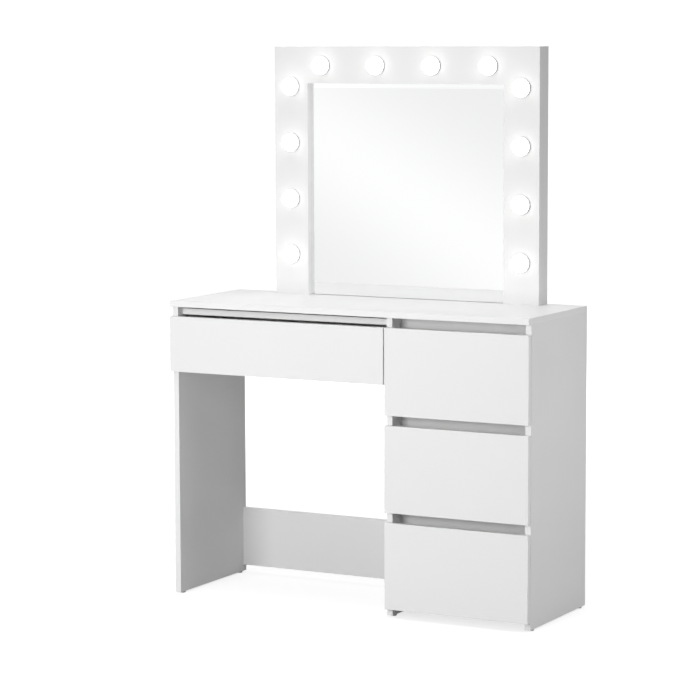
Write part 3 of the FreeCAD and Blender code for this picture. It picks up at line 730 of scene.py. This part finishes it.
def lamp_rims(materials):
    """The rim bead at the foot of each dome."""
    bead = bead_template()
    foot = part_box("lamp_bases")[0].y
    low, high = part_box("mirror_front_board")
    places = [(x, high.z - SIDE_LAMP_TOP - SIDE_LAMP_PITCH * k)
              for x in (low.x + LAMP_EDGE, high.x - LAMP_EDGE) for k in range(LAMPS_IN_ROW)]
    first = (low.x + high.x) / 2 - TOP_LAMP_PITCH * (LAMPS_IN_ROW - 1) / 2
    places += [(first + TOP_LAMP_PITCH * k, high.z - LAMP_EDGE) for k in range(LAMPS_IN_ROW)]
    parts = [(bead, facing((x, foot + RIM_BEAD, z), (0, -1, 0))) for x, z in places]
    piece("lamp_rims", parts, "carcass", materials["lamp_collar"])


def small_hardware(materials):
    """All the pieces that the CAD model leaves out."""
    lever_outline = [(x * MM, y * MM) for x, y in LEVER_OUTLINE]
    templates = (
        ball_template(),
        cross_headed("pan_head", *PAN_HEAD),
        cross_headed("flat_head", *FLAT_HEAD),
        cross_headed("cam_disc", *CAM_DISC),
        prism("lever", lever_outline, LEVER_AT[1] - LEVER_AT[0]),
    )
    for drawer in DRAWERS:
        drawer_hardware(drawer, templates, materials)
    lamp_rims(materials)


# ---------------------------------------------------------------- studio
def floor_sheet():
    """The floor's flat sheet, with an empty material. Returns the material's node tree."""
    corners = [(-FLOOR_HALF, -FLOOR_HALF, 0), (FLOOR_HALF, -FLOOR_HALF, 0),
               (FLOOR_HALF, FLOOR_HALF, 0), (-FLOOR_HALF, FLOOR_HALF, 0)]
    mesh = bpy.data.meshes.new("studio_floor")
    mesh.from_pydata(corners, [], [(0, 1, 2, 3)])
    sheet = bpy.data.objects.new("studio_floor", mesh)
    bpy.context.scene.collection.objects.link(sheet)
    material = bpy.data.materials.new("studio_floor")
    material.use_nodes = True
    material.node_tree.nodes.clear()
    mesh.materials.append(material)
    return material.node_tree


def studio_floor():
    """A wide grey floor with a white glow on top, which only the camera and glossy faces see.
    The glow is weaker near the object, where the object's soft shadow shows."""
    tree = floor_sheet()
    path = add(tree, "ShaderNodeLightPath")
    coords = add(tree, "ShaderNodeTexCoord").outputs["Object"]
    reach = add(tree, "ShaderNodeVectorMath", operation="LENGTH")
    tree.links.new(coords, reach.inputs[0])
    glow = remap(tree, reach.outputs["Value"], FLOOR_FADE, FLOOR_GLOW)
    gloss_part = maths(tree, "MULTIPLY", path.outputs["Is Glossy Ray"], FLOOR_IN_GLOSS)
    level = maths(tree, "MAXIMUM", path.outputs["Is Camera Ray"], gloss_part)
    light = add(tree, "ShaderNodeEmission")
    tree.links.new(maths(tree, "MULTIPLY", glow, level), light.inputs["Strength"])
    cloth = add(tree, "ShaderNodeBsdfDiffuse")
    tone = noise(tree, coords, FLOOR_CLOUDS)
    colour = mix_colour(tree, tone, (FLOOR_BOUNCE * (1.0 - FLOOR_UNEVEN),) * 3,
                        (FLOOR_BOUNCE * (1.0 + FLOOR_UNEVEN),) * 3)
    tree.links.new(colour, cloth.inputs["Color"])
    both = add(tree, "ShaderNodeAddShader")
    tree.links.new(light.outputs[0], both.inputs[0])
    tree.links.new(cloth.outputs[0], both.inputs[1])
    out = add(tree, "ShaderNodeOutputMaterial")
    tree.links.new(both.outputs[0], out.inputs["Surface"])


def studio_world():
    """White to the camera and to glossy faces. To all else it is a weak fill light, stronger
    from above."""
    world = bpy.data.worlds.new("studio")
    bpy.context.scene.world = world
    world.use_nodes = True
    tree = world.node_tree
    path = add(tree, "ShaderNodeLightPath")
    up = split(tree, add(tree, "ShaderNodeTexCoord").outputs["Generated"])[2]
    fill = remap(tree, up, (0.0, 1.0), (FILL_EVEN, FILL_EVEN + FILL_ABOVE))
    camera_part = maths(tree, "MULTIPLY", path.outputs["Is Camera Ray"], BACKDROP)
    gloss_part = maths(tree, "MULTIPLY", path.outputs["Is Glossy Ray"], IN_GLOSS)
    seen = maths(tree, "MAXIMUM", camera_part, gloss_part)
    background = tree.nodes["Background"]
    tree.links.new(maths(tree, "MAXIMUM", seen, fill), background.inputs["Strength"])
    background.inputs["Color"].default_value = (1.0, 1.0, 1.0, 1.0)


def streak_light():
    """A long weak softbox in front on the left, bright along its middle. It shows in the mirror
    as a slanting streak."""
    length, width = STREAK_SIZE
    data = bpy.data.lights.new("streak", "AREA")
    data.shape = "RECTANGLE"
    data.size = length
    data.size_y = width
    data.energy = STREAK_WATTS
    data.use_nodes = True
    tree = data.node_tree
    places = split(tree, add(tree, "ShaderNodeNewGeometry").outputs["Parametric"])
    from_middle = maths(tree, "SUBTRACT", places[STREAK_ACROSS], 0.5)
    off = maths(tree, "MULTIPLY", from_middle, width / STREAK_SOFT)
    bell = maths(tree, "EXPONENT", maths(tree, "MULTIPLY", maths(tree, "MULTIPLY", off, off), -0.5))
    tree.links.new(bell, tree.nodes["Emission"].inputs["Strength"])
    light = bpy.data.objects.new("streak", data)
    slope = math.radians(STREAK_SLOPE)
    along = Vector((math.cos(slope), 0.0, -math.sin(slope)))
    back = Vector((0.0, -1.0, 0.0))
    across = back.cross(along)
    turn = Matrix((along, across, back)).transposed().to_4x4()
    light.matrix_world = Matrix.Translation(STREAK_AT) @ turn
    light.visible_camera = False
    bpy.context.scene.collection.objects.link(light)


def softboxes():
    """Square area lights round the object."""
    for name, (place, target, size, watts, in_gloss) in SOFTBOXES.items():
        data = bpy.data.lights.new(name, "AREA")
        data.shape = "SQUARE"
        data.size = size
        data.energy = watts
        light = bpy.data.objects.new(name, data)
        light.location = place
        aim = Vector(target) - Vector(place)
        light.rotation_euler = aim.to_track_quat("-Z", "Y").to_euler()
        light.visible_camera = False
        light.visible_glossy = in_gloss
        bpy.context.scene.collection.objects.link(light)


def camera():
    """The camera, in front on the right and looking slightly down."""
    data = bpy.data.cameras.new("camera")
    data.lens = CAMERA_LENS
    data.sensor_width = SENSOR
    data.clip_end = FAR_CLIP
    obj = bpy.data.objects.new("camera", data)
    turn = Matrix.Rotation(math.radians(CAMERA_YAW), 3, "Z")
    tilt = Matrix.Rotation(math.radians(90.0 - CAMERA_PITCH), 3, "X")
    roll = Matrix.Rotation(math.radians(CAMERA_ROLL), 3, "Z")
    obj.matrix_world = Matrix.Translation(CAMERA_AT) @ (turn @ tilt @ roll).to_4x4()
    bpy.context.scene.collection.objects.link(obj)
    bpy.context.scene.camera = obj


camera()
studio_floor()
studio_world()
streak_light()
softboxes()
bpy.context.scene.view_settings.view_transform = "Standard"
surfaces = shared_materials()
finish_cad_nodes(surfaces)
small_hardware(surfaces)
